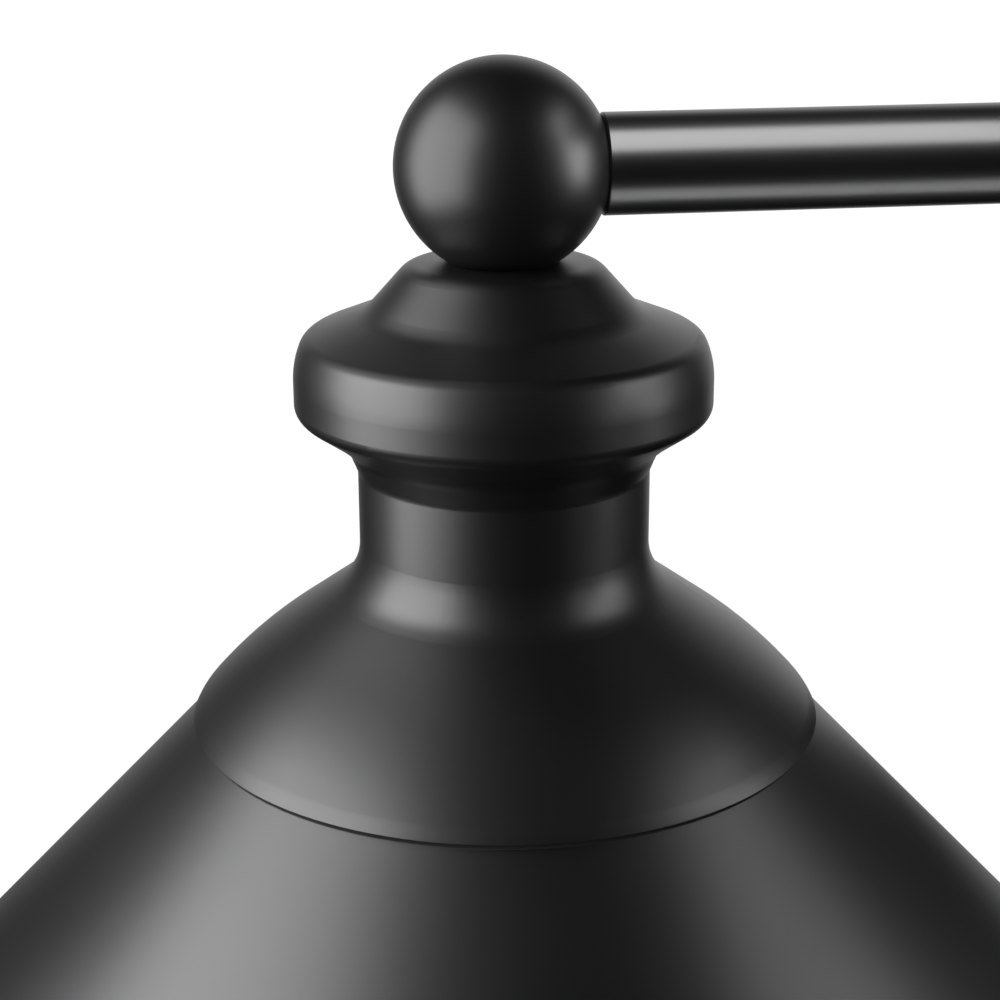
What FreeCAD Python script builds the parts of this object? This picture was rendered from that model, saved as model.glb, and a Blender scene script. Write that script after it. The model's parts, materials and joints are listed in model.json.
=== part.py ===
# Three-light semi-flush ceiling light with tilting cone shades.
# Millimetres. Origin: centre of the ceiling face. +Z up, so everything hangs at z < 0.
# Head 1 is on the -X side, its arm runs along +X to the hub; heads 2 and 3 follow at 120 degrees.

import FreeCAD
import Part
import math
import os
from FreeCAD import Placement, Rotation, Vector

# Layout
HEADS = 3
BALL_DROP = 90.0
HEAD_CIRCLE = 190.0

# Swivel ball on the end of each arm
BALL_R = 17.0
BALL_FLAT = 15.4
BALL_CAVITY_R = 9.0
BALL_SEAT_DROP = 15.5
BALL_SEAT_GAP = 0.12

# Tube used for the arms and the stem
TUBE_R = 8.0
TUBE_WALL = 1.2
ARM_PLUG = 10.0
ARM_EDGE = 0.25

# How far a cutting tool reaches past what it cuts
OVERCUT = 2.0

# Fits
THREAD_GAP = 0.05
RUNNING_GAP = 0.05
PRESS_GAP = 0.02
FACE_GAP = 0.1
SWIVEL_SIDE_GAP = 0.6

# Swivel stud and its bush in the arm's outer end
STUD_R = 4.0
STUD_BORE_R = 2.6
STUD_HEAD_T = 3.0
STUD_IN_BALL = 7.0
BUSH_LENGTH = 12.0

# Hollow threaded nipples
NIPPLE_R = 5.0
NIPPLE_BORE_R = 3.5
NIPPLE_NUT_AF = 14.0
NIPPLE_NUT_T = 5.0
NIPPLE_PAST_NUT = 1.0

# Turned cap under the ball: crown, sloping shoulder and thick rim that narrows upwards
CROWN_TOP_DROP = 14.65
CROWN_R = 15.3
CROWN_DROP = 15.1
CROWN_EDGE = 4.0
CROWN_FOOT_R = 22.0
CROWN_FOOT_DROP = 22.6
CROWN_COVE = 7.0
RIM_TOP_R = 31.9
RIM_TOP_DROP = 26.6
RIM_TOP_ROUND = 3.0
RIM_R = 33.5
RIM_SIDE_DROP = 30.5
RIM_SIDE_ROUND = 14.0
RIM_BOTTOM_DROP = 38.3
RIM_BOTTOM_ROUND = 2.5
CAP_BOTTOM_R = 28.1
CAP_BOTTOM_DROP = 42.0
CAP_POCKET_R = 20.0
CAP_POCKET_DEPTH = 10.5
CAP_CORE_R = 12.0
CAP_CORE_DEPTH = 20.0
CAP_INNER_ROUND = 1.0

# Shade holder: flared collar, straight neck and bell
HOLDER_WALL = 1.0
HOLDER_COVE_R = 25.2
HOLDER_COVE_DROP = 44.4
HOLDER_COVE_ROUND = 4.0
NECK_R = 23.6
NECK_TOP_DROP = 48.3
NECK_TOP_ROUND = 2.0
NECK_END_DROP = 65.8
NECK_COVE = 10.3
BELL_MID_R = 44.4
BELL_MID_DROP = 80.9
BELL_ROUND = 78.0
BELL_LIP_R = 51.8
BELL_LIP_DROP = 89.9
BELL_LIP_IN = 0.6
BELL_LIP_H = 1.2
BELL_LIP_ROUND = 9.0

# Cone shade of spun sheet with a rolled rim
SHADE_WALL = 0.8
SHADE_TUCK = 7.2
SHADE_LIP_STEP = 1.6
SHADE_TOP_ROUND = 3.0
SHADE_SLOPE = 0.9375
SHADE_DEPTH = 78.0
SHADE_BEAD_R = 1.6
SHADE_HOLE_GAP = 0.3

# Lampholder for a medium screw base
LAMPHOLDER_R = 18.6
LAMPHOLDER_FLANGE_R = 21.4
LAMPHOLDER_FLANGE_T = 2.6
LAMPHOLDER_SKIRT_R = 19.1
LAMPHOLDER_SKIRT_H = 9.0
LAMPHOLDER_BORE_R = 14.3
LAMPHOLDER_BORE_DEPTH = 34.0
LAMPHOLDER_EDGE = 1.2
LAMPHOLDER_LOW_EDGE = 1.0
LAMPHOLDER_FLANGE_EDGE = 0.5
NIPPLE_IN_LAMPHOLDER = 7.5
WIRE_HOLE_R = 3.2
SHELL_R = 14.1
SHELL_WALL = 0.5
SHELL_LENGTH = 32.0
SHELL_EDGE = 1.0
SHELL_WINDOW_R = 7.0
CONTACT_R = 4.2
CONTACT_TIP_R = 2.5
CONTACT_T = 4.4
CONTACT_RIM_T = 1.8
CONTACT_EDGE = 0.8

# Ring that clamps the shade to the lampholder
RING_GAP = 0.1
RING_FLANGE_R = 27.0
RING_FLANGE_T = 1.8
RING_BODY_R = 22.6
RING_HEIGHT = 6.8
RING_RIBS = 12
RING_RIB_R = 0.9
RING_RIB_INSET = 0.8
RING_EDGE = 0.6

# Small globe bulb with a medium screw base
BULB_R = 22.5
BULB_LENGTH = 78.0
BULB_NECK_R = 13.4
BULB_WALL = 0.8
BULB_NECK_ROUND = 3.6
BULB_NECK_H = 3.0
BULB_SHOULDER_H = 42.8
BULB_SHOULDER_ROUND = 14.0
BULB_SEAT_GAP = 0.1
BASE_LENGTH = 25.5
BASE_THREAD_R = 13.1
BASE_ROOT_R = 12.2
BASE_PITCH = 3.63
BASE_TURNS = 5
BASE_CREST_ROUND = 1.3
BASE_CREST_OUT = 0.3
BASE_TIP_R = 4.2
BASE_TIP_T = 1.6
BASE_TIP_EDGE = 0.8
BASE_CONE_T = 2.6

# Hub
HUB_R = 22.0
HUB_FLAT = 20.5
HUB_CAVITY_R = 17.5
HUB_SPOTFACE_R = 9.2
HUB_SPOTFACE_UP = 16.5
HUB_MOUTH_R = 11.0
HUB_MOUTH_WALL = 3.0
ARM_NIPPLE_IN_HUB = 6.0
ARM_NIPPLE_SHY = 0.5
HUB_CAP_R = 17.0
HUB_CAP_T = 4.5
HUB_CAP_SPIGOT_GAP = 0.1
HUB_CAP_SPIGOT_H = 4.0
HUB_CAP_FOOT_R = 7.0
HUB_CAP_WAIST_R = 10.0
HUB_CAP_WAIST_H = 1.5
HUB_CAP_DROP = 11.0
HUB_CAP_COVE = 1.8
HUB_CAP_EDGE = 0.6
HUB_CAP_LOW_EDGE = 1.5
FINIAL_R = 6.5
FINIAL_FLAT = 5.6
FINIAL_STUD_R = 2.5
FINIAL_STUD_L = 8.0

# Canopy, spun pan against the ceiling
CANOPY_R = 75.0
CANOPY_WALL = 1.2
CANOPY_LIP = 5.0
CANOPY_LIP_ROUND = 1.5
CANOPY_STEP_R = 71.5
CANOPY_STEP_DROP = 7.5
CANOPY_STEP_H = 3.0
CANOPY_DEPTH = 25.2
CANOPY_FLAT_R = 63.0
CANOPY_FLAT_ROUND = 4.5
CANOPY_ROUND = 9.0
CANOPY_STUD_HOLE_GAP = 0.4
CANOPY_NIPPLE_HOLE_GAP = 0.3

# Crossbar on the ceiling box
BAR_END_MARGIN = 6.0
BAR_WIDTH = 26.0
BAR_T = 2.0
BAR_END_ROUND = 6.0
BOX_SCREW_SPACING = 88.9
SLOT_R = 2.4
SLOT_LENGTH = 10.0
GROUND_X = 24.0
GROUND_SCREW_R = 2.0
GROUND_HEAD_R = 4.2
GROUND_HEAD_T = 2.4
GROUND_SHANK_L = 2.0
GROUND_HEAD_EDGE = 1.2
GROUND_SLOT = 1.0

# Canopy studs, their lock nuts and ball knobs
CANOPY_STUD_R = 2.0
CANOPY_STUD_X = 57.0
CANOPY_STUD_END = 33.0
STUD_NUT_AF = 7.0
STUD_NUT_T = 3.2
KNOB_R = 5.5
KNOB_FLAT = 4.6
KNOB_BORE_L = 8.4

# Stem between the canopy and the hub
COLLAR_R = 15.0
COLLAR_T = 9.0
COLLAR_BAND_T = 3.2
COLLAR_FOOT_R = 10.0
COLLAR_FOOT_T = 2.7
COLLAR_EDGE = 1.5
COLLAR_COVE = 2.0
COLLAR_FINE_EDGE = 0.5

# Cables
CABLE_R = 1.5
CABLE_SPACING = 1.78
CABLE_BEND = 8.0
CABLE_TOP_DROP = 0.5
CABLE_END_GAP = 0.3

# Places that follow from the values above
BALL_SEAT_R = math.sqrt(BALL_R ** 2 - CROWN_TOP_DROP ** 2) + BALL_SEAT_GAP
SHADE_TOP_DROP = BELL_LIP_DROP - SHADE_TUCK
SHADE_TOP_R = BELL_LIP_R - SHADE_LIP_STEP - SHADE_SLOPE * SHADE_TUCK
SHADE_RIM_DROP = SHADE_TOP_DROP + SHADE_DEPTH
SHADE_RIM_R = SHADE_TOP_R + SHADE_SLOPE * SHADE_DEPTH
LAMPHOLDER_BOTTOM_DROP = SHADE_TOP_DROP + LAMPHOLDER_SKIRT_H
LAMPHOLDER_BORE_TOP_DROP = LAMPHOLDER_BOTTOM_DROP - LAMPHOLDER_BORE_DEPTH
BULB_TOP_DROP = LAMPHOLDER_BORE_TOP_DROP + CONTACT_T + BULB_SEAT_GAP
BAR_LENGTH = 2.0 * (CANOPY_STUD_X + BAR_END_MARGIN)
HUB_CAP_SEAT = math.sqrt(HUB_R ** 2 - (HUB_MOUTH_R + HUB_MOUTH_WALL) ** 2)

AXIS = Vector(0, 0, 1)
ORIGIN = Vector(0, 0, 0)


def rounded_wire(corners):
    """Closed wire in the XZ plane from (radius, height, rounding) corners."""
    points = [Vector(c[0], 0, c[1]) for c in corners]
    rounds = [c[2] if len(c) > 2 else 0.0 for c in corners]
    starts = []
    ends = []
    arcs = []
    count = len(points)
    for i in range(count):
        here = points[i]
        back = (points[i - 1] - here).normalize()
        ahead = (points[(i + 1) % count] - here).normalize()
        half = back.getAngle(ahead) / 2.0
        if rounds[i] <= 0.0 or half > math.pi / 2.0 - 1e-4:
            starts.append(here)
            ends.append(here)
            arcs.append(None)
            continue
        run = rounds[i] / math.tan(half)
        start = here + back * run
        end = here + ahead * run
        centre = here + (back + ahead).normalize() * (rounds[i] / math.sin(half))
        middle = centre + (here - centre).normalize() * rounds[i]
        starts.append(start)
        ends.append(end)
        arcs.append(Part.Arc(start, middle, end))
    edges = []
    for i in range(count):
        if arcs[i] is not None:
            edges.append(arcs[i].toShape())
        after = starts[(i + 1) % count]
        if ends[i].distanceToPoint(after) > 1e-6:
            edges.append(Part.LineSegment(ends[i], after).toShape())
    return Part.Wire(edges)


def turned(corners):
    """Solid of revolution about Z."""
    solid = Part.Face(rounded_wire(corners)).revolve(ORIGIN, AXIS, 360)
    if solid.ShapeType != "Solid":
        solid = solid.Solids[0]
    return solid


def offset_corners(corners, wall):
    """The same open outline moved to its right-hand side by the wall, roundings adjusted."""
    points = [Vector(c[0], 0, c[1]) for c in corners]
    rounds = [c[2] if len(c) > 2 else 0.0 for c in corners]
    normals = []
    for a, b in zip(points[:-1], points[1:]):
        along = (b - a).normalize()
        normals.append(Vector(along.z, 0, -along.x))
    moved = [points[0] + normals[0] * wall]
    for i in range(1, len(points) - 1):
        first = normals[i - 1]
        second = normals[i]
        moved.append(points[i] + (first + second) * (wall / (1.0 + first.dot(second))))
    moved.append(points[-1] + normals[-1] * wall)
    result = []
    for i, point in enumerate(moved):
        size = rounds[i]
        if size > 0.0 and 0 < i < len(moved) - 1:
            turn = normals[i - 1].cross(normals[i]).y
            size = max(size + wall if turn < 0.0 else size - wall, 0.0)
        else:
            size = 0.0
        result.append((point.x, point.z, size))
    return result


def sheet_turned(corners, wall):
    """Turned sheet: the outline is the outer skin, the wall lies on its right-hand side."""
    outer = [(c[0], c[1], c[2] if 0 < i < len(corners) - 1 and len(c) > 2 else 0.0)
             for i, c in enumerate(corners)]
    return turned(outer + offset_corners(outer, wall)[::-1])


def rod(radius, start, end, x=0.0, y=0.0):
    """Vertical cylinder between two heights."""
    low = min(start, end)
    return Part.makeCylinder(radius, abs(end - start), Vector(x, y, low), AXIS)


def cross_rod(radius, start, end, z=0.0):
    """Cylinder along X between two places."""
    low = min(start, end)
    return Part.makeCylinder(radius, abs(end - start), Vector(low, 0, z), Vector(1, 0, 0))


def hexagon(across_flats, low, high, x=0.0):
    """Hexagonal prism about a vertical axis."""
    reach = across_flats / math.sqrt(3.0)
    ring = [Vector(x + reach * math.cos(math.radians(60 * k)), reach * math.sin(math.radians(60 * k)), low)
            for k in range(7)]
    return Part.Face(Part.makePolygon(ring)).extrude(Vector(0, 0, high - low))


def nut(across_flats, bore, low, high, x=0.0):
    """Hex nut with chamfered corners."""
    reach = across_flats / math.sqrt(3.0)
    chamfer = (reach - across_flats / 2.0) * 0.9
    blank = turned([(0, low), (reach - chamfer, low), (reach, low + chamfer), (reach, high - chamfer),
                    (reach - chamfer, high), (0, high)])
    blank.translate(Vector(x, 0, 0))
    return hexagon(across_flats, low, high, x).common(blank).cut(rod(bore, low - OVERCUT, high + OVERCUT, x))


def tube_along(path, radius):
    """Round bar along a wire."""
    first = path.Edges[0]
    heading = first.tangentAt(first.FirstParameter)
    section = Part.Wire(Part.makeCircle(radius, first.valueAt(first.FirstParameter), heading))
    return path.makePipeShell([section], True, False)


def one_solid(shape):
    """The single solid in a shape."""
    clean = shape.removeSplitter()
    return clean.Solids[0]


# Head pieces, drawn about the ball's centre with the hub on the +X side

def swivel_ball():
    ball = Part.makeSphere(BALL_R)
    ball = ball.cut(Part.makeBox(BALL_R, 4 * BALL_R, 4 * BALL_R, Vector(BALL_FLAT, -2 * BALL_R, -2 * BALL_R)))
    ball = ball.cut(rod(BALL_R, -BALL_SEAT_DROP, -BALL_R - OVERCUT))
    ball = ball.cut(Part.makeSphere(BALL_CAVITY_R))
    ball = ball.cut(cross_rod(STUD_R + THREAD_GAP, 0, BALL_FLAT + OVERCUT))
    ball = ball.cut(rod(NIPPLE_R + THREAD_GAP, 0, -BALL_SEAT_DROP - OVERCUT))
    return one_solid(ball)


def swivel_stud():
    inner_end = BALL_FLAT - STUD_IN_BALL
    bush_end = BALL_FLAT + FACE_GAP + BUSH_LENGTH
    head_start = bush_end + FACE_GAP
    head_r = TUBE_R - TUBE_WALL - SWIVEL_SIDE_GAP
    stud = cross_rod(STUD_R, inner_end, head_start + STUD_HEAD_T)
    stud = stud.fuse(cross_rod(head_r, head_start, head_start + STUD_HEAD_T))
    stud = stud.cut(cross_rod(STUD_BORE_R, 0, head_start + STUD_HEAD_T + OVERCUT))
    return one_solid(stud)


def neck_nipple():
    top = -(BALL_SEAT_DROP - STUD_IN_BALL)
    bottom = -(CAP_BOTTOM_DROP + HOLDER_WALL + NIPPLE_IN_LAMPHOLDER)
    return one_solid(rod(NIPPLE_R, top, bottom).cut(rod(NIPPLE_BORE_R, top + OVERCUT, bottom - OVERCUT)))


def cap():
    bore = NIPPLE_R + THREAD_GAP
    body = turned([
        (bore, -BALL_SEAT_DROP),
        (BALL_SEAT_R, -BALL_SEAT_DROP),
        (BALL_SEAT_R, -CROWN_TOP_DROP),
        (CROWN_R, -CROWN_DROP, CROWN_EDGE),
        (CROWN_FOOT_R, -CROWN_FOOT_DROP, CROWN_COVE),
        (RIM_TOP_R, -RIM_TOP_DROP, RIM_TOP_ROUND),
        (RIM_R, -RIM_SIDE_DROP, RIM_SIDE_ROUND),
        (RIM_R, -RIM_BOTTOM_DROP, RIM_BOTTOM_ROUND),
        (CAP_BOTTOM_R, -CAP_BOTTOM_DROP),
        (CAP_POCKET_R, -CAP_BOTTOM_DROP),
        (CAP_POCKET_R, -CAP_BOTTOM_DROP + CAP_POCKET_DEPTH, CAP_INNER_ROUND),
        (CAP_CORE_R, -CAP_BOTTOM_DROP + CAP_POCKET_DEPTH),
        (CAP_CORE_R, -CAP_BOTTOM_DROP + CAP_CORE_DEPTH, CAP_INNER_ROUND),
        (bore, -CAP_BOTTOM_DROP + CAP_CORE_DEPTH),
    ])
    return body


def shade_holder():
    skin = sheet_turned([
        (NIPPLE_R + THREAD_GAP, -CAP_BOTTOM_DROP),
        (CAP_BOTTOM_R, -CAP_BOTTOM_DROP),
        (HOLDER_COVE_R, -HOLDER_COVE_DROP, HOLDER_COVE_ROUND),
        (NECK_R, -NECK_TOP_DROP, NECK_TOP_ROUND),
        (NECK_R, -NECK_END_DROP, NECK_COVE),
        (BELL_MID_R, -BELL_MID_DROP, BELL_ROUND),
        (BELL_LIP_R - BELL_LIP_IN, -BELL_LIP_DROP + BELL_LIP_H, BELL_LIP_ROUND),
        (BELL_LIP_R, -BELL_LIP_DROP),
    ], HOLDER_WALL)
    return one_solid(skin.cut(rod(BELL_LIP_R + OVERCUT, -BELL_LIP_DROP, -BELL_LIP_DROP - OVERCUT)))


def shade():
    skin = sheet_turned([
        (LAMPHOLDER_SKIRT_R + SHADE_HOLE_GAP, -SHADE_TOP_DROP),
        (SHADE_TOP_R, -SHADE_TOP_DROP, SHADE_TOP_ROUND),
        (SHADE_RIM_R, -SHADE_RIM_DROP),
    ], SHADE_WALL)
    bead = Part.makeTorus(SHADE_RIM_R - SHADE_WALL / 2.0, SHADE_BEAD_R, Vector(0, 0, -SHADE_RIM_DROP), AXIS)
    return one_solid(skin.fuse(bead))


def lampholder():
    top = -(CAP_BOTTOM_DROP + HOLDER_WALL)
    nipple_end = top - NIPPLE_IN_LAMPHOLDER
    return turned([
        (NIPPLE_R + THREAD_GAP, top),
        (LAMPHOLDER_R, top, LAMPHOLDER_EDGE),
        (LAMPHOLDER_R, -SHADE_TOP_DROP + LAMPHOLDER_FLANGE_T),
        (LAMPHOLDER_FLANGE_R, -SHADE_TOP_DROP + LAMPHOLDER_FLANGE_T, LAMPHOLDER_FLANGE_EDGE),
        (LAMPHOLDER_FLANGE_R, -SHADE_TOP_DROP),
        (LAMPHOLDER_SKIRT_R, -SHADE_TOP_DROP),
        (LAMPHOLDER_SKIRT_R, -LAMPHOLDER_BOTTOM_DROP, LAMPHOLDER_LOW_EDGE),
        (LAMPHOLDER_BORE_R, -LAMPHOLDER_BOTTOM_DROP, LAMPHOLDER_LOW_EDGE),
        (LAMPHOLDER_BORE_R, -LAMPHOLDER_BORE_TOP_DROP),
        (WIRE_HOLE_R, -LAMPHOLDER_BORE_TOP_DROP),
        (WIRE_HOLE_R, nipple_end),
        (NIPPLE_R + THREAD_GAP, nipple_end),
    ])


def screw_shell():
    top = -LAMPHOLDER_BORE_TOP_DROP
    return sheet_turned([
        (SHELL_WINDOW_R, top),
        (SHELL_R, top, SHELL_EDGE),
        (SHELL_R, top - SHELL_LENGTH),
    ], SHELL_WALL)


def centre_contact():
    top = -LAMPHOLDER_BORE_TOP_DROP
    return turned([
        (0, top),
        (CONTACT_R, top),
        (CONTACT_R, top - CONTACT_RIM_T, CONTACT_EDGE),
        (CONTACT_TIP_R, top - CONTACT_T, CONTACT_EDGE),
        (0, top - CONTACT_T),
    ])


def shade_ring():
    top = -(SHADE_TOP_DROP + SHADE_WALL)
    inner = LAMPHOLDER_SKIRT_R + RING_GAP
    ring = turned([
        (inner, top),
        (RING_FLANGE_R, top, RING_EDGE),
        (RING_FLANGE_R, top - RING_FLANGE_T, RING_EDGE),
        (RING_BODY_R, top - RING_FLANGE_T, RING_EDGE),
        (RING_BODY_R, top - RING_HEIGHT, RING_EDGE),
        (inner, top - RING_HEIGHT),
    ])
    for k in range(RING_RIBS):
        angle = 2 * math.pi * k / RING_RIBS
        rib = rod(RING_RIB_R, top - RING_FLANGE_T / 2.0, top - RING_HEIGHT + RING_RIB_INSET,
                  RING_BODY_R * math.cos(angle), RING_BODY_R * math.sin(angle))
        ring = ring.fuse(rib)
    return one_solid(ring)


def bulb_base():
    top = -BULB_TOP_DROP
    thread_top = top - BASE_TIP_T - BASE_CONE_T
    corners = [
        (0, top),
        (BASE_TIP_R, top, BASE_TIP_EDGE),
        (BASE_TIP_R, top - BASE_TIP_T),
        (BASE_ROOT_R, thread_top),
    ]
    for k in range(BASE_TURNS):
        crest = thread_top - BASE_PITCH * (k + 0.5)
        corners.append((BASE_THREAD_R + BASE_CREST_OUT, crest, BASE_CREST_ROUND))
        corners.append((BASE_ROOT_R - BASE_CREST_OUT, crest - BASE_PITCH / 2.0, BASE_CREST_ROUND))
    low = top - BASE_LENGTH
    corners[-1] = (BASE_THREAD_R, thread_top - BASE_PITCH * BASE_TURNS)
    corners.append((BASE_THREAD_R, low))
    corners.append((0, low))
    return turned(corners)


def bulb_glass():
    top = -BULB_TOP_DROP - BASE_LENGTH
    bottom = -BULB_TOP_DROP - BULB_LENGTH
    skin = sheet_turned([
        (0.0, bottom),
        (BULB_R, bottom, BULB_R),
        (BULB_R, bottom + BULB_SHOULDER_H, BULB_SHOULDER_ROUND),
        (BULB_NECK_R, top - BULB_NECK_H, BULB_NECK_ROUND),
        (BULB_NECK_R, top),
    ], -BULB_WALL)
    return skin


def head_cable():
    return rod(CABLE_R, -CABLE_R - CABLE_END_GAP, -LAMPHOLDER_BORE_TOP_DROP)


# Fixed pieces

def arm():
    start = -HEAD_CIRCLE + BALL_FLAT + FACE_GAP
    end = -HUB_FLAT
    inner = TUBE_R - TUBE_WALL
    tube = cross_rod(TUBE_R, start, end)
    circles = [edge for edge in tube.Edges if edge.Curve.TypeId == "Part::GeomCircle"]
    rims = [edge for edge in circles if edge.Vertexes[0].X < start + ARM_EDGE]
    tube = tube.makeChamfer(ARM_EDGE, rims)
    tube = tube.cut(cross_rod(inner, start - OVERCUT, end - ARM_PLUG))
    tube = tube.cut(cross_rod(NIPPLE_R + THREAD_GAP, end - ARM_PLUG - OVERCUT, end + OVERCUT))
    tube.translate(Vector(0, 0, -BALL_DROP))
    return one_solid(tube)


def arm_bush():
    start = -HEAD_CIRCLE + BALL_FLAT + FACE_GAP
    bush = cross_rod(TUBE_R - TUBE_WALL - PRESS_GAP, start, start + BUSH_LENGTH)
    bush = bush.cut(cross_rod(STUD_R + RUNNING_GAP, start - OVERCUT, start + BUSH_LENGTH + OVERCUT))
    bush.translate(Vector(0, 0, -BALL_DROP))
    return bush


def arm_nipple():
    start = -HUB_FLAT - ARM_PLUG + ARM_NIPPLE_SHY
    end = -HUB_FLAT + ARM_NIPPLE_IN_HUB
    nipple = cross_rod(NIPPLE_R, start, end).cut(cross_rod(NIPPLE_BORE_R, start - OVERCUT, end + OVERCUT))
    nipple.translate(Vector(0, 0, -BALL_DROP))
    return nipple


def arm_cable():
    low = Vector(-CABLE_SPACING, 0, -BALL_DROP + CABLE_BEND)
    side = Vector(-CABLE_SPACING - CABLE_BEND, 0, -BALL_DROP)
    reach = CABLE_BEND * (1.0 - math.sqrt(0.5))
    middle = Vector(-CABLE_SPACING - reach, 0, -BALL_DROP + reach)
    top = Vector(-CABLE_SPACING, 0, -CABLE_TOP_DROP)
    far = Vector(-HEAD_CIRCLE, 0, -BALL_DROP)
    path = Part.Wire([
        Part.LineSegment(top, low).toShape(),
        Part.Arc(low, middle, side).toShape(),
        Part.LineSegment(side, far).toShape(),
    ])
    return tube_along(path, CABLE_R)


def hub_body():
    hub = Part.makeSphere(HUB_R).cut(Part.makeSphere(HUB_CAVITY_R))
    slab = Part.makeBox(HUB_R, 4 * HUB_R, 4 * HUB_R, Vector(-HUB_FLAT - HUB_R, -2 * HUB_R, -2 * HUB_R))
    port = cross_rod(NIPPLE_R + THREAD_GAP, -HUB_R - OVERCUT, 0)
    for k in range(HEADS):
        turn = Placement(ORIGIN, Rotation(AXIS, 360.0 * k / HEADS))
        for tool in (slab, port):
            piece = tool.copy()
            piece.Placement = turn
            hub = hub.cut(piece)
    big = 4 * HUB_R
    hub = hub.cut(Part.makeBox(big, big, HUB_R, Vector(-big / 2, -big / 2, HUB_FLAT)))
    hub = hub.cut(Part.makeBox(big, big, HUB_R, Vector(-big / 2, -big / 2, -HUB_CAP_SEAT - HUB_R)))
    hub = hub.cut(rod(HUB_SPOTFACE_R, 0, HUB_SPOTFACE_UP))
    hub = hub.cut(rod(NIPPLE_R + THREAD_GAP, 0, HUB_R + OVERCUT))
    hub = hub.cut(rod(HUB_MOUTH_R, 0, -HUB_R - OVERCUT))
    hub.translate(Vector(0, 0, -BALL_DROP))
    return one_solid(hub)


def hub_cap():
    seat = -BALL_DROP - HUB_CAP_SEAT
    spigot = HUB_MOUTH_R - HUB_CAP_SPIGOT_GAP
    foot = seat - HUB_CAP_DROP
    bore = FINIAL_STUD_R + THREAD_GAP
    return turned([
        (bore, seat + HUB_CAP_SPIGOT_H),
        (spigot, seat + HUB_CAP_SPIGOT_H, HUB_CAP_EDGE),
        (spigot, seat),
        (HUB_CAP_R, seat, HUB_CAP_EDGE),
        (HUB_CAP_R, seat - HUB_CAP_T, HUB_CAP_LOW_EDGE),
        (HUB_CAP_WAIST_R, seat - HUB_CAP_T - HUB_CAP_WAIST_H, HUB_CAP_COVE),
        (HUB_CAP_FOOT_R, foot, HUB_CAP_EDGE),
        (bore, foot),
    ])


def hub_finial():
    foot = -BALL_DROP - HUB_CAP_SEAT - HUB_CAP_DROP
    ball = Part.makeSphere(FINIAL_R)
    big = 4 * FINIAL_R
    ball = ball.cut(Part.makeBox(big, big, FINIAL_R, Vector(-big / 2, -big / 2, FINIAL_FLAT)))
    ball = ball.fuse(rod(FINIAL_STUD_R, 0, FINIAL_FLAT + FINIAL_STUD_L))
    ball.translate(Vector(0, 0, foot - FINIAL_FLAT))
    return one_solid(ball)


def canopy():
    pan = sheet_turned([
        (NIPPLE_R + CANOPY_NIPPLE_HOLE_GAP, -CANOPY_DEPTH),
        (CANOPY_FLAT_R, -CANOPY_DEPTH, CANOPY_FLAT_ROUND),
        (CANOPY_STEP_R, -CANOPY_STEP_DROP - CANOPY_STEP_H, CANOPY_ROUND),
        (CANOPY_STEP_R, -CANOPY_STEP_DROP, 0.0),
        (CANOPY_R, -CANOPY_LIP, CANOPY_LIP_ROUND),
        (CANOPY_R, 0.0),
    ], -CANOPY_WALL)
    for side in (-1, 1):
        pan = pan.cut(rod(CANOPY_STUD_R + CANOPY_STUD_HOLE_GAP, -CANOPY_DEPTH - OVERCUT,
                          -CANOPY_DEPTH + CANOPY_WALL + OVERCUT, side * CANOPY_STUD_X))
    return one_solid(pan)


def crossbar():
    bar = Part.makeBox(BAR_LENGTH, BAR_WIDTH, BAR_T, Vector(-BAR_LENGTH / 2, -BAR_WIDTH / 2, -BAR_T))
    uprights = [edge for edge in bar.Edges if abs(edge.tangentAt(edge.FirstParameter).z) > 0.9]
    bar = bar.makeFillet(BAR_END_ROUND, uprights)
    bar = bar.cut(rod(NIPPLE_R + THREAD_GAP, -BAR_T - OVERCUT, OVERCUT))
    bar = bar.cut(rod(GROUND_SCREW_R + THREAD_GAP, -BAR_T - OVERCUT, OVERCUT, GROUND_X))
    for side in (-1, 1):
        bar = bar.cut(rod(CANOPY_STUD_R + THREAD_GAP, -BAR_T - OVERCUT, OVERCUT, side * CANOPY_STUD_X))
        half = (SLOT_LENGTH - 2 * SLOT_R) / 2.0
        middle = side * BOX_SCREW_SPACING / 2.0
        low = -BAR_T - OVERCUT
        slot = Part.makeBox(2 * half, 2 * SLOT_R, OVERCUT - low, Vector(middle - half, -SLOT_R, low))
        for end in (middle - half, middle + half):
            slot = slot.fuse(rod(SLOT_R, low, OVERCUT, end))
        bar = bar.cut(slot)
    return one_solid(bar)


def canopy_studs():
    return [rod(CANOPY_STUD_R, -CANOPY_STUD_END, 0, side * CANOPY_STUD_X) for side in (-1, 1)]


def stud_nuts():
    bore = CANOPY_STUD_R + THREAD_GAP
    return [nut(STUD_NUT_AF, bore, -BAR_T - STUD_NUT_T, -BAR_T, side * CANOPY_STUD_X) for side in (-1, 1)]


def canopy_knobs():
    knobs = []
    for side in (-1, 1):
        ball = Part.makeSphere(KNOB_R)
        big = 4 * KNOB_R
        ball = ball.cut(Part.makeBox(big, big, KNOB_R, Vector(-big / 2, -big / 2, KNOB_FLAT)))
        ball = ball.cut(rod(CANOPY_STUD_R + THREAD_GAP, KNOB_FLAT - KNOB_BORE_L, KNOB_FLAT + OVERCUT))
        ball.translate(Vector(side * CANOPY_STUD_X, 0, -CANOPY_DEPTH - KNOB_FLAT))
        knobs.append(ball)
    return knobs


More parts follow.
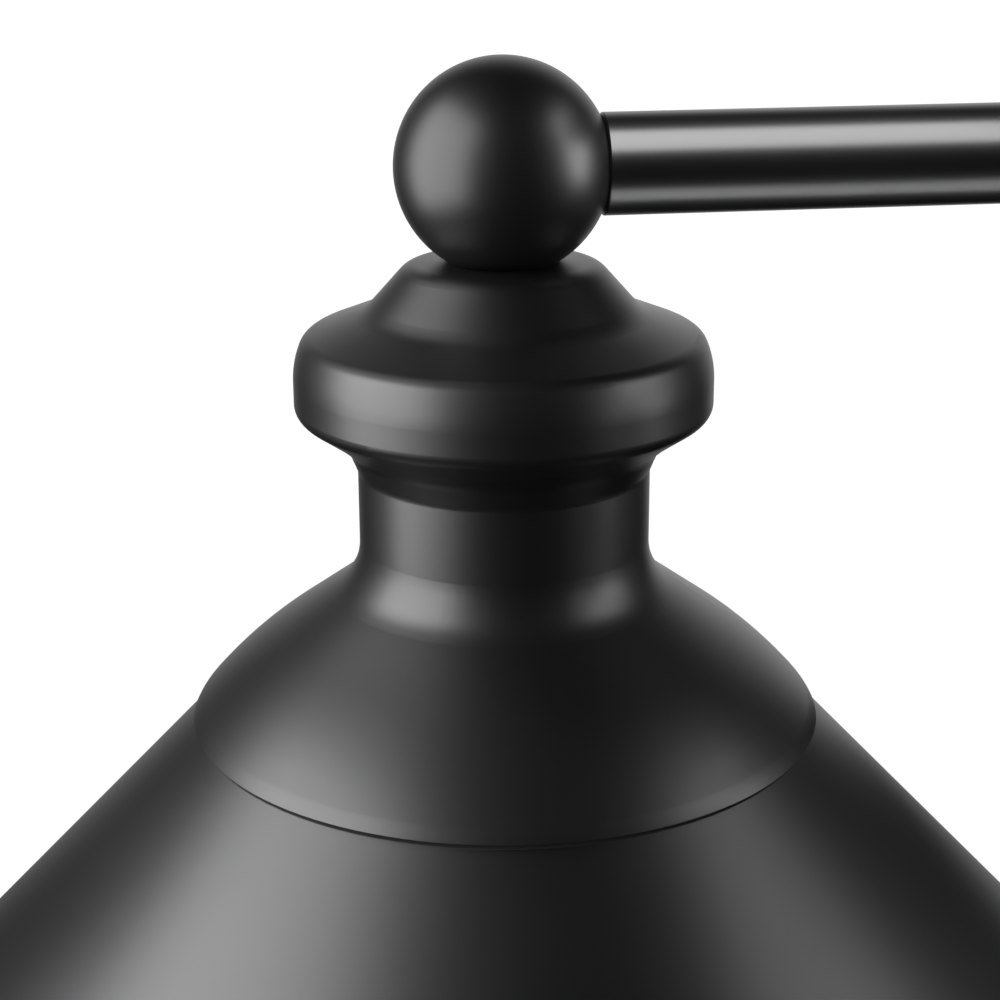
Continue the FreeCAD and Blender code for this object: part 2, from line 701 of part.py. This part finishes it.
def ground_screw():
    shank = rod(GROUND_SCREW_R, -BAR_T - GROUND_HEAD_T / 2.0, -BAR_T + GROUND_SHANK_L, GROUND_X)
    head = turned([(0, -BAR_T - GROUND_HEAD_T), (GROUND_HEAD_R, -BAR_T - GROUND_HEAD_T, GROUND_HEAD_EDGE),
                   (GROUND_HEAD_R, -BAR_T), (0, -BAR_T)])
    head.translate(Vector(GROUND_X, 0, 0))
    slot = Part.makeBox(4 * GROUND_HEAD_R, GROUND_SLOT, GROUND_SLOT,
                        Vector(GROUND_X - 2 * GROUND_HEAD_R, -GROUND_SLOT / 2.0, -BAR_T - GROUND_HEAD_T))
    return one_solid(shank.fuse(head).cut(slot))


def stem_nipple():
    bottom = -BALL_DROP + HUB_SPOTFACE_UP - NIPPLE_NUT_T - NIPPLE_PAST_NUT
    return one_solid(rod(NIPPLE_R, bottom, 0).cut(rod(NIPPLE_BORE_R, bottom - OVERCUT, OVERCUT)))


def nipple_nuts():
    bore = NIPPLE_R + THREAD_GAP
    hub_seat = -BALL_DROP + HUB_SPOTFACE_UP
    return [
        nut(NIPPLE_NUT_AF, bore, -BAR_T - NIPPLE_NUT_T, -BAR_T),
        nut(NIPPLE_NUT_AF, bore, hub_seat - NIPPLE_NUT_T, hub_seat),
    ]


def stem_collar():
    top = -CANOPY_DEPTH
    return turned([
        (NIPPLE_R + CANOPY_NIPPLE_HOLE_GAP, top),
        (COLLAR_R, top, COLLAR_FINE_EDGE),
        (COLLAR_R, top - COLLAR_BAND_T, COLLAR_EDGE),
        (COLLAR_FOOT_R, top - COLLAR_T + COLLAR_FOOT_T, COLLAR_COVE),
        (COLLAR_FOOT_R, top - COLLAR_T, COLLAR_FINE_EDGE),
        (NIPPLE_R + CANOPY_NIPPLE_HOLE_GAP, top - COLLAR_T),
    ])


def stem_tube():
    top = -CANOPY_DEPTH - COLLAR_T
    bottom = -BALL_DROP + HUB_FLAT
    return one_solid(rod(TUBE_R, bottom, top).cut(rod(TUBE_R - TUBE_WALL, bottom - OVERCUT, top + OVERCUT)))


def around(shape, k):
    """Copy of a piece of arm 1 turned to arm k."""
    piece = shape.copy()
    piece.Placement = Placement(ORIGIN, Rotation(AXIS, 360.0 * k / HEADS)).multiply(piece.Placement)
    return piece


def at_head(shape, k):
    """Copy of a head piece carried from the ball's centre to head k."""
    piece = shape.copy()
    piece.translate(Vector(-HEAD_CIRCLE, 0, -BALL_DROP))
    return around(piece, k)


def save(name, shapes):
    """One STEP file; several solids stay separate."""
    shape = shapes[0] if len(shapes) == 1 else Part.makeCompound(shapes)
    if not all(s.isValid() for s in shapes):
        print("INVALID", name)
    shape.exportStep("parts/" + name + ".step")
    print(name, len(shapes), "volume_cm3", round(sum(s.Volume for s in shapes) / 1000.0, 3))


HEAD_PIECES = {
    "swivel_ball": swivel_ball,
    "swivel_stud": swivel_stud,
    "neck_nipple": neck_nipple,
    "cap": cap,
    "shade_holder": shade_holder,
    "shade": shade,
    "shade_ring": shade_ring,
    "lampholder": lampholder,
    "screw_shell": screw_shell,
    "centre_contact": centre_contact,
    "bulb_base": bulb_base,
    "bulb_glass": bulb_glass,
    "head_cable": head_cable,
}

FIXED_PIECES = {
    "canopy": canopy,
    "crossbar": crossbar,
    "ground_screw": ground_screw,
    "stem_nipple": stem_nipple,
    "stem_collar": stem_collar,
    "stem_tube": stem_tube,
    "hub_body": hub_body,
    "hub_cap": hub_cap,
    "hub_finial": hub_finial,
}

FIXED_GROUPS = {
    "canopy_studs": canopy_studs,
    "stud_nuts": stud_nuts,
    "canopy_knobs": canopy_knobs,
    "nipple_nuts": nipple_nuts,
}

ARM_GROUPS = {
    "arm_bushes": arm_bush,
    "arm_nipples": arm_nipple,
    "arm_cables": arm_cable,
}


def main():
    os.makedirs("parts", exist_ok=True)
    for name, make in FIXED_PIECES.items():
        save(name, [make()])
    for name, make in FIXED_GROUPS.items():
        save(name, make())
    for name, make in ARM_GROUPS.items():
        piece = make()
        save(name, [around(piece, k) for k in range(HEADS)])
    one_arm = arm()
    for k in range(HEADS):
        save("arm_%d" % (k + 1), [around(one_arm, k)])
    for name, make in HEAD_PIECES.items():
        piece = make()
        for k in range(HEADS):
            save("%s_%d" % (name, k + 1), [at_head(piece, k)])


main()
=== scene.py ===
import json
import math

import bpy
from mathutils import Matrix, Vector

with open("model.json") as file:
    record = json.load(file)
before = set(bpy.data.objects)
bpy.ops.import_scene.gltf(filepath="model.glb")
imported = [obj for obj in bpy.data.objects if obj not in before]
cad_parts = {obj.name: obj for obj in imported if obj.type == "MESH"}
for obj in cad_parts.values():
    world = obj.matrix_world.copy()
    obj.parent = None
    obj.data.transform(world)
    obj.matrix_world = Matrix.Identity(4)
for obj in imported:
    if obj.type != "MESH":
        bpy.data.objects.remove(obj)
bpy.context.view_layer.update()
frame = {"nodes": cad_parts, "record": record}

NODES = frame["nodes"]
JOINTS = {joint["name"]: joint for joint in frame["record"]["behaviour"]["joints"]}
SLOTS = {part["node"]: part["material_slot"] for part in frame["record"]["subparts"]}
HEADS = (1, 2, 3)
ARMS = ["arm_%d" % k for k in HEADS]
SWIVEL_BALLS = ["swivel_ball_%d" % k for k in HEADS]
FITTINGS = [name for name in NODES if SLOTS[name] in ("zinc_steel", "green_steel", "brass")]
OTHERS = [name for name in NODES if name not in ARMS + SWIVEL_BALLS + FITTINGS]

# Centres of the swivel balls; each head's own axis runs straight down from here
BALLS = {k: Vector(JOINTS["head_%d_tilt" % k]["pos_m"]) for k in HEADS}


# Camera, close to the ball of head 1 and looking down on it. Angles are in degrees.

CAMERA_FROM_BALL = Vector((-0.0438, -0.3237, 0.0543))
CAMERA_HEADING = 7.59
CAMERA_PITCH = 18.40
CAMERA_ROLL = -0.28
FOCAL_PX = 2114.3
FRAME_PX = 1000.0
SENSOR_MM = 36.0
CLIP_NEAR = 0.01
CLIP_FAR = 100.0


def make_camera():
    data = bpy.data.cameras.new("camera")
    data.sensor_width = SENSOR_MM
    data.lens = SENSOR_MM * FOCAL_PX / FRAME_PX
    data.clip_start = CLIP_NEAR
    data.clip_end = CLIP_FAR
    camera = bpy.data.objects.new("camera", data)
    bpy.context.scene.collection.objects.link(camera)
    place = Matrix.Translation(BALLS[1] + CAMERA_FROM_BALL)
    heading = Matrix.Rotation(-math.radians(CAMERA_HEADING), 4, "Z")
    pitch = Matrix.Rotation(math.radians(90.0 - CAMERA_PITCH), 4, "X")
    roll = Matrix.Rotation(math.radians(CAMERA_ROLL), 4, "Z")
    camera.matrix_world = place @ heading @ pitch @ roll
    bpy.context.scene.camera = camera


make_camera()


# Material helpers

NOISE_DETAIL = 3.0
NOISE_ROUGHNESS = 0.55
CLOUD_SCALE = 14.0
CLOUD_DETAIL = 4.0
COLOUR_CLOUDS = (0.3, 0.7)
GLOSS_CLOUDS = (0.25, 0.75)
GRAIN_STRENGTH = 0.3


def new_material(name):
    material = bpy.data.materials.new(name)
    material.use_nodes = True
    tree = material.node_tree
    return material, tree, tree.nodes["Principled BSDF"]


def coordinates(tree):
    return tree.nodes.new("ShaderNodeTexCoord").outputs["Object"]


def noise(tree, coords, scale, detail=NOISE_DETAIL):
    node = tree.nodes.new("ShaderNodeTexNoise")
    node.inputs["Scale"].default_value = scale
    node.inputs["Detail"].default_value = detail
    node.inputs["Roughness"].default_value = NOISE_ROUGHNESS
    tree.links.new(coords, node.inputs["Vector"])
    return node.outputs["Fac"]


def ramp(tree, value, stops, colours):
    """Two colours with a straight blend between the two stops."""
    node = tree.nodes.new("ShaderNodeValToRGB")
    for element, stop, colour in zip(node.color_ramp.elements, stops, colours):
        element.position = stop
        element.color = colour
    tree.links.new(value, node.inputs["Fac"])
    return node.outputs["Color"]


def bump(tree, height, strength, distance):
    node = tree.nodes.new("ShaderNodeBump")
    node.inputs["Strength"].default_value = strength
    node.inputs["Distance"].default_value = distance
    tree.links.new(height, node.inputs["Height"])
    return node.outputs["Normal"]


def grey(value):
    return (value, value, value, 1.0)


def rgb(red, green, blue):
    return (red, green, blue, 1.0)


def finish_material(name, colours, roughness, grain, grain_depth,
                    cloud=CLOUD_SCALE, metallic=0.0, coat=0.0):
    """Slightly clouded colour and gloss with a fine grain. The grain's depth is in metres."""
    material, tree, shader = new_material(name)
    coords = coordinates(tree)
    clouds = noise(tree, coords, cloud, CLOUD_DETAIL)
    gloss = [grey(value) for value in roughness]
    tree.links.new(ramp(tree, clouds, COLOUR_CLOUDS, colours), shader.inputs["Base Color"])
    tree.links.new(ramp(tree, clouds, GLOSS_CLOUDS, gloss), shader.inputs["Roughness"])
    height = noise(tree, coords, grain)
    tree.links.new(bump(tree, height, GRAIN_STRENGTH, grain_depth), shader.inputs["Normal"])
    shader.inputs["Metallic"].default_value = metallic
    shader.inputs["Coat Weight"].default_value = coat
    return material


# Materials

BLACK = finish_material(
    "black_metal", (rgb(0.0010, 0.0010, 0.0011), rgb(0.0018, 0.0018, 0.0019)),
    roughness=(0.385, 0.415), grain=1400.0, grain_depth=0.000004)
GLOSSY_BLACK = finish_material(
    "glossy_black_metal", (rgb(0.0008, 0.0008, 0.0009), rgb(0.0014, 0.0014, 0.0015)),
    roughness=(0.28, 0.31), grain=1400.0, grain_depth=0.000003)
ENAMEL = finish_material(
    "white_enamel", (rgb(0.74, 0.73, 0.70), rgb(0.80, 0.79, 0.76)),
    roughness=(0.28, 0.36), grain=900.0, grain_depth=0.000010)
ZINC = finish_material(
    "zinc_steel", (rgb(0.30, 0.30, 0.29), rgb(0.42, 0.41, 0.39)),
    roughness=(0.42, 0.58), grain=1600.0, grain_depth=0.000012, cloud=40.0, metallic=1.0)
GREEN = finish_material(
    "green_steel", (rgb(0.02, 0.17, 0.06), rgb(0.03, 0.26, 0.09)),
    roughness=(0.26, 0.40), grain=1600.0, grain_depth=0.000012, cloud=60.0, metallic=0.9)
BRASS = finish_material(
    "brass", (rgb(0.60, 0.42, 0.17), rgb(0.74, 0.55, 0.26)),
    roughness=(0.22, 0.36), grain=1600.0, grain_depth=0.000010, cloud=60.0, metallic=1.0)
PHENOLIC = finish_material(
    "black_phenolic", (rgb(0.012, 0.011, 0.010), rgb(0.020, 0.019, 0.017)),
    roughness=(0.26, 0.36), grain=1100.0, grain_depth=0.000010, cloud=30.0)
BULB_METAL = finish_material(
    "bulb_metal", (rgb(0.66, 0.66, 0.65), rgb(0.80, 0.80, 0.79)),
    roughness=(0.22, 0.34), grain=1500.0, grain_depth=0.000010, cloud=50.0, metallic=1.0)
OPAL = finish_material(
    "opal_glass", (rgb(0.86, 0.85, 0.81), rgb(0.90, 0.89, 0.85)),
    roughness=(0.14, 0.20), grain=300.0, grain_depth=0.000006, cloud=30.0, coat=0.3)
JACKET = finish_material(
    "cable_jacket", (rgb(0.020, 0.020, 0.020), rgb(0.032, 0.032, 0.031)),
    roughness=(0.45, 0.58), grain=1300.0, grain_depth=0.000015)

FINISHES = {
    "black_metal": BLACK,
    "shade_enamel": BLACK,
    "zinc_steel": ZINC,
    "green_steel": GREEN,
    "brass": BRASS,
    "black_phenolic": PHENOLIC,
    "bulb_metal": BULB_METAL,
    "opal_glass": OPAL,
    "cable_jacket": JACKET,
}

# Painted shade along the seam under a holder's lip: up to this distance from the head's axis the shade
# is fully dull, so the band just outside the lip loses its reflections and shows as a dark shadow line
SEAM_SHADE_R = 0.05106
SEAM_SHADE_SOFTNESS = 0.00012
PAINTED_SHADE_ROUGHNESS = 1.0


def with_painted_seam_shade(name, axis_point):
    """The black finish, dull on the hidden top of a shade as far as just outside its holder's lip: a
    painted shadow line under the lip.
    """
    material = BLACK.copy()
    material.name = name
    tree = material.node_tree
    shader = tree.nodes["Principled BSDF"]
    gloss = shader.inputs["Roughness"].links[0].from_socket
    flat = tree.nodes.new("ShaderNodeVectorMath")
    flat.operation = "MULTIPLY"
    flat.inputs[1].default_value = (1.0, 1.0, 0.0)
    tree.links.new(coordinates(tree), flat.inputs[0])
    away = tree.nodes.new("ShaderNodeVectorMath")
    away.operation = "DISTANCE"
    away.inputs[1].default_value = (axis_point.x, axis_point.y, 0.0)
    tree.links.new(flat.outputs["Vector"], away.inputs[0])
    inside = tree.nodes.new("ShaderNodeMapRange")
    inside.interpolation_type = "SMOOTHSTEP"
    inside.inputs["From Min"].default_value = SEAM_SHADE_R
    inside.inputs["From Max"].default_value = SEAM_SHADE_R + SEAM_SHADE_SOFTNESS
    inside.inputs["To Min"].default_value = 1.0
    inside.inputs["To Max"].default_value = 0.0
    tree.links.new(away.outputs["Value"], inside.inputs["Value"])
    mix = tree.nodes.new("ShaderNodeMix")
    mix.inputs["B"].default_value = PAINTED_SHADE_ROUGHNESS
    tree.links.new(inside.outputs["Result"], mix.inputs["Factor"])
    tree.links.new(gloss, mix.inputs["A"])
    tree.links.new(mix.outputs["Result"], shader.inputs["Roughness"])
    return material


def dress():
    for name, node in NODES.items():
        node.data.materials.clear()
        node.data.materials.append(GLOSSY_BLACK if name in ARMS else FINISHES[SLOTS[name]])
    for k in HEADS:
        # Each shade gets the painted shadow line under its holder's lip
        NODES["shade_%d" % k].data.materials[0] = with_painted_seam_shade("black_metal_%d" % k, BALLS[k])


# The rolled rim stays black; the white inside starts this far above its lowest point
ENAMEL_ABOVE_RIM = 0.0036
LEAST_INWARDS = 0.2
LEAST_DOWN = 0.9


def enamel_inside(node, axis_point):
    """White enamel on the faces of a shade that look inwards or down."""
    node.data.materials.append(ENAMEL)
    white_slot = len(node.data.materials) - 1
    start = min(vertex.co.z for vertex in node.data.vertices) + ENAMEL_ABOVE_RIM
    for face in node.data.polygons:
        to_axis = Vector((axis_point.x - face.center.x, axis_point.y - face.center.y, 0.0))
        looks_in = face.normal.dot(to_axis.normalized()) > LEAST_INWARDS
        looks_down = face.normal.z < -LEAST_DOWN
        if (looks_in or looks_down) and face.center.z > start:
            face.material_index = white_slot


dress()
for k in HEADS:
    enamel_inside(NODES["shade_%d" % k], BALLS[k])


# Studio. Directions are seen from head 1: azimuth 0 is towards the camera, 90 to its right.

LIT_POINT = BALLS[1] + Vector((0.0, 0.0, -0.06))
FLOOR_DROP = 2.4
FLOOR_SIZE = 60.0
FLOOR_GREY = 0.9
FLOOR_ROUGHNESS = 0.9
FLOOR_GLOW = 1.0
BACKDROP_AZIMUTH = 172.0
BACKDROP_ELEVATION = 3.7
BACKDROP_EDGE = (0.72, 0.994)
BACKDROP_STRENGTH = 1.2
BOX_DISTANCE = 1.8
STRIP_DISTANCE = 1.6


def towards(azimuth, elevation):
    turn = Matrix.Rotation(-math.radians(CAMERA_HEADING), 3, "Z")
    front = turn @ Vector((0.0, -1.0, 0.0))
    right = turn @ Vector((1.0, 0.0, 0.0))
    a, e = math.radians(azimuth), math.radians(elevation)
    level = math.cos(a) * front + math.sin(a) * right
    return math.cos(e) * level + math.sin(e) * Vector((0.0, 0.0, 1.0))


def softbox(name, azimuth, elevation, distance, width, height, radiance, roll=0.0):
    """Area light facing the object, as wide and high in degrees as the object sees it."""
    data = bpy.data.lights.new(name, "AREA")
    data.shape = "RECTANGLE"
    data.size = 2.0 * distance * math.tan(math.radians(width) / 2.0)
    data.size_y = 2.0 * distance * math.tan(math.radians(height) / 2.0)
    data.energy = radiance * math.pi * data.size * data.size_y
    light = bpy.data.objects.new(name, data)
    bpy.context.scene.collection.objects.link(light)
    direction = towards(azimuth, elevation)
    facing = direction.to_track_quat("Z", "Y").to_matrix()
    turn = facing @ Matrix.Rotation(math.radians(roll), 3, "Z")
    light.matrix_world = Matrix.Translation(LIT_POINT + distance * direction) @ turn.to_4x4()
    light.visible_camera = False
    return light


def collection_of(name, members):
    chosen = bpy.data.collections.new(name)
    for member in members:
        chosen.objects.link(NODES[member])
    return chosen


def lights_only(light, names):
    """This light reaches only the named nodes."""
    light.light_linking.receiver_collection = collection_of(light.name + "_reaches", names)


def shaded_only_by(light, names):
    """Only the named nodes shade this light, in reflections too."""
    light.light_linking.blocker_collection = collection_of(light.name + "_stops_at", names)
    light.data.cycles.use_multiple_importance_sampling = False


def make_floor():
    mesh = bpy.data.meshes.new("floor")
    half = FLOOR_SIZE / 2.0
    corners = [(-half, -half), (half, -half), (half, half), (-half, half)]
    mesh.from_pydata([(x, y, -FLOOR_DROP) for x, y in corners], [], [(0, 1, 2, 3)])
    floor = bpy.data.objects.new("floor", mesh)
    bpy.context.scene.collection.objects.link(floor)
    material, tree, shader = new_material("floor")
    shader.inputs["Base Color"].default_value = grey(FLOOR_GREY)
    shader.inputs["Roughness"].default_value = FLOOR_ROUGHNESS
    shader.inputs["Emission Color"].default_value = grey(1.0)
    shader.inputs["Emission Strength"].default_value = FLOOR_GLOW
    mesh.materials.append(material)
    floor.visible_glossy = False


def make_world():
    """White to the camera. To the object it is a bright backdrop behind it and a dark room in front."""
    world = bpy.data.worlds.new("studio")
    bpy.context.scene.world = world
    world.use_nodes = True
    tree = world.node_tree
    background = tree.nodes["Background"]
    direction = tree.nodes.new("ShaderNodeTexCoord").outputs["Generated"]
    facing = tree.nodes.new("ShaderNodeVectorMath")
    facing.operation = "DOT_PRODUCT"
    facing.inputs[1].default_value = towards(BACKDROP_AZIMUTH, BACKDROP_ELEVATION)
    tree.links.new(direction, facing.inputs[0])
    room = ramp(tree, facing.outputs["Value"], BACKDROP_EDGE, (grey(0.0), grey(1.0)))
    room_light = tree.nodes.new("ShaderNodeBackground")
    room_light.inputs["Strength"].default_value = BACKDROP_STRENGTH
    tree.links.new(room, room_light.inputs["Color"])
    background.inputs["Color"].default_value = grey(1.0)
    mix = tree.nodes.new("ShaderNodeMixShader")
    seen_directly = tree.nodes.new("ShaderNodeLightPath").outputs["Is Camera Ray"]
    tree.links.new(seen_directly, mix.inputs["Fac"])
    tree.links.new(room_light.outputs["Background"], mix.inputs[1])
    tree.links.new(background.outputs["Background"], mix.inputs[2])
    tree.links.new(mix.outputs["Shader"], tree.nodes["World Output"].inputs["Surface"])


make_floor()
make_world()

left_box = softbox("left_box", -70.4, 12.9, BOX_DISTANCE, 60.8, 64.6, radiance=8.5, roll=14.4)
left_fill = softbox("left_fill", -94.0, 45.4, BOX_DISTANCE, 48.8, 54.7, radiance=1.6, roll=49.8)
right_box = softbox("right_box", 77.8, 4.7, BOX_DISTANCE, 32.9, 68.0, radiance=5.4, roll=-16.8)
for box in (left_box, right_box):
    lights_only(box, OTHERS)
lights_only(left_fill, ARMS + FITTINGS + OTHERS)

left_of_balls = softbox("left_of_balls", -73.0, 12.7, BOX_DISTANCE, 71.5, 82.5, radiance=6.1, roll=3.3)
right_of_balls = softbox("right_of_balls", 89.5, 17.0, BOX_DISTANCE, 31.0, 50.0, radiance=11.5)
for box in (left_of_balls, right_of_balls):
    lights_only(box, SWIVEL_BALLS)

over_arms = softbox("over_arms", 12.0, 61.0, STRIP_DISTANCE, 70.0, 47.0, radiance=12.5)
under_arms = softbox("under_arms", 12.0, -64.5, STRIP_DISTANCE, 70.0, 29.0, radiance=4.6)
for strip in (over_arms, under_arms):
    lights_only(strip, ARMS)

shaded_only_by(under_arms, ARMS + SWIVEL_BALLS)
shaded_only_by(right_of_balls, SWIVEL_BALLS + OTHERS)

bpy.context.scene.view_settings.view_transform = "Standard"
